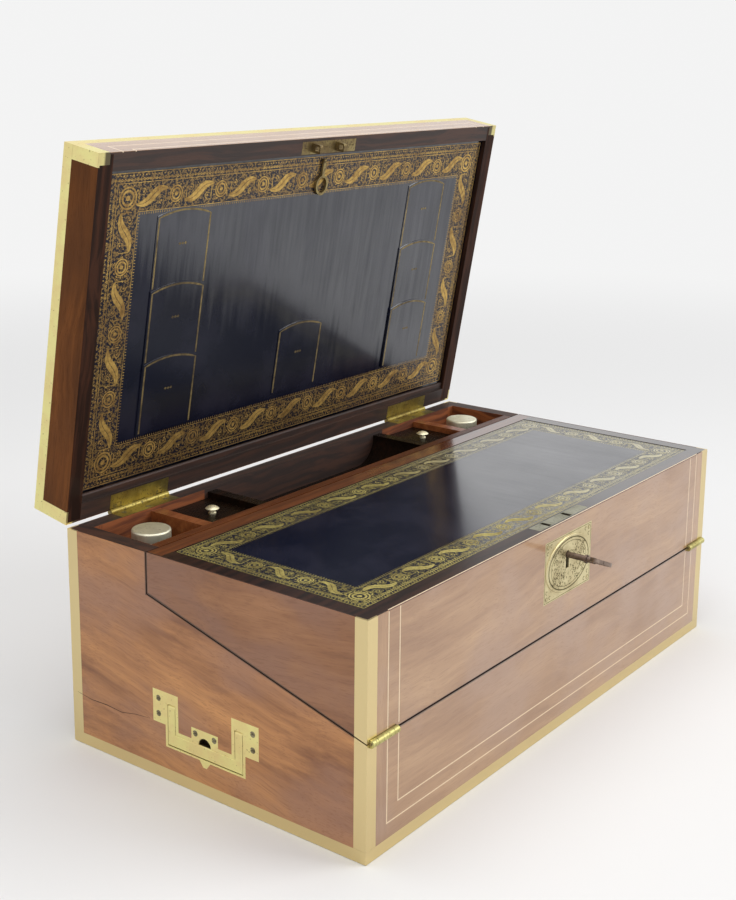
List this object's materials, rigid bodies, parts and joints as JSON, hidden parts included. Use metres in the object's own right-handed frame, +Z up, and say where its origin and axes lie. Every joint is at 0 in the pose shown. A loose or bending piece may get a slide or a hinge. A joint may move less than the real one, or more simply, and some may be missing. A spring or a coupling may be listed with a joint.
{
  "type": "writing slope",
  "caption": "Brass-bound walnut writing slope with a raised lid, pen tray, inkwells, tooled leather and flush handles.",
  "frame": {"origin": "middle of the underside of the body, on the surface it stands on", "axes": "+X along the box to the right, +Y from the lock to the hinges, +Z up"},
  "size_m": [0.508, 0.3585, 0.4598],
  "materials": {
    "case_wood": "polished walnut veneer",
    "tray_wood": "satin",
    "stringing": "polished",
    "leather": "polished, gilt tooled",
    "brass": "polished, lightly aged",
    "steel": "aged",
    "glass": "clear"
  },
  "bodies": {
    "case": {"bottom_board": "case_wood", "front_board": "case_wood", "back_board": "case_wood", "left_side_board": "case_wood", "right_side_board": "case_wood", "base_bindings": "brass", "base_stringing": "stringing", "tray_floor": "tray_wood", "tray_front_wall": "tray_wood", "tray_dividers": "tray_wood", "pen_tray": "tray_wood", "base_leaf": "tray_wood", "base_leaf_leather": "leather", "left_handle_plate": "brass", "right_handle_plate": "brass", "case_screws": "brass", "pivot_pins": "brass", "lid_hinge_base_leaves": "brass", "fold_hinge_base_leaves": "brass"},
    "slope": {"slope_front_board": "case_wood", "slope_left_side": "case_wood", "slope_right_side": "case_wood", "slope_back_board": "case_wood", "slope_top_frame": "case_wood", "slope_top_panel": "tray_wood", "slope_leather": "leather", "slope_leaf": "tray_wood", "slope_leaf_leather": "leather", "slope_bindings": "brass", "slope_stringing": "stringing", "fold_hinge_slope_leaves": "brass", "escutcheon": "brass", "lock_case": "brass"},
    "lid": {"lid_top_board": "case_wood", "lid_front_board": "case_wood", "lid_back_board": "case_wood", "lid_left_board": "case_wood", "lid_right_board": "case_wood", "lid_bindings": "brass", "lid_stringing": "stringing", "lid_hinge_lid_leaves": "brass", "lid_hinge_screws": "brass", "link_plate": "brass"},
    "wallet": {"wallet_panel": "tray_wood", "wallet_leather": "leather", "wallet_pockets": "leather", "pull_post": "brass"},
    "wallet_pull": {"wallet_pull": "brass"},
    "lock_bolt": {"lock_bolt": "steel"},
    "key": {"key": "steel"},
    "left_bail": {"left_bail": "brass"},
    "right_bail": {"right_bail": "brass"},
    "inkwell_left": {"inkwell_left": "glass"},
    "inkwell_right": {"inkwell_right": "glass"},
    "inkwell_cap_left": {"inkwell_cap_left": "brass"},
    "inkwell_cap_right": {"inkwell_cap_right": "brass"},
    "cover_left": {"compartment_cover_left": "tray_wood", "cover_knob_left": "brass"},
    "cover_right": {"compartment_cover_right": "tray_wood", "cover_knob_right": "brass"}
  },
  "joints": [
    {"name": "lid_hinge", "type": "hinge", "parent": "case", "child": "lid", "pos_m": [0, 0.1433, 0.1725], "axis": [-1, 0, 0], "range_deg": [-80, 15]},
    {"name": "wallet_hinge", "type": "hinge", "parent": "lid", "child": "wallet", "pos_m": [0, 0.14396, 0.19465], "axis": [1, 0, 0], "range_deg": [0, 30]},
    {"name": "wallet_pull_swing", "type": "hinge", "parent": "wallet", "child": "wallet_pull", "pos_m": [-0.001, 0.10004, 0.43396], "axis": [-1, 0, 0], "range_deg": [0, 100]},
    {"name": "slope_fold", "type": "hinge", "parent": "case", "child": "slope", "pos_m": [0, -0.143, 0.086], "axis": [1, 0, 0], "range_deg": [0, 180]},
    {"name": "key_draw", "type": "slide", "parent": "case", "child": "key", "axis": [0, -0.95, -0.3123], "range_m": [0, 0.44]},
    {"name": "bolt_throw", "type": "slide", "parent": "slope", "child": "lock_bolt", "axis": [-1, 0, 0], "range_m": [0, 0.007]},
    {"name": "left_bail_swing", "type": "hinge", "parent": "case", "child": "left_bail", "pos_m": [-0.2519, 0.003, 0.058], "axis": [0, 1, 0], "range_deg": [0, 90]},
    {"name": "right_bail_swing", "type": "hinge", "parent": "case", "child": "right_bail", "pos_m": [0.2519, 0.003, 0.058], "axis": [0, -1, 0], "range_deg": [0, 90]},
    {"name": "inkwell_lift_left", "type": "slide", "parent": "case", "child": "inkwell_left", "axis": [0, 0, 1], "range_m": [0, 0.052]},
    {"name": "inkwell_cap_lift_left", "type": "slide", "parent": "inkwell_left", "child": "inkwell_cap_left", "axis": [0, 0, 1], "range_m": [0, 0.03]},
    {"name": "cover_lift_left", "type": "slide", "parent": "case", "child": "cover_left", "axis": [0, 0, 1], "range_m": [0, 0.03]},
    {"name": "inkwell_lift_right", "type": "slide", "parent": "case", "child": "inkwell_right", "axis": [0, 0, 1], "range_m": [0, 0.052]},
    {"name": "inkwell_cap_lift_right", "type": "slide", "parent": "inkwell_right", "child": "inkwell_cap_right", "axis": [0, 0, 1], "range_m": [0, 0.03]},
    {"name": "cover_lift_right", "type": "slide", "parent": "case", "child": "cover_right", "axis": [0, 0, 1], "range_m": [0, 0.03]}
  ],
  "couplings": [
    {"joint": "key_draw", "follows": "slope_fold", "m_per_rad": 0.14}
  ]
}
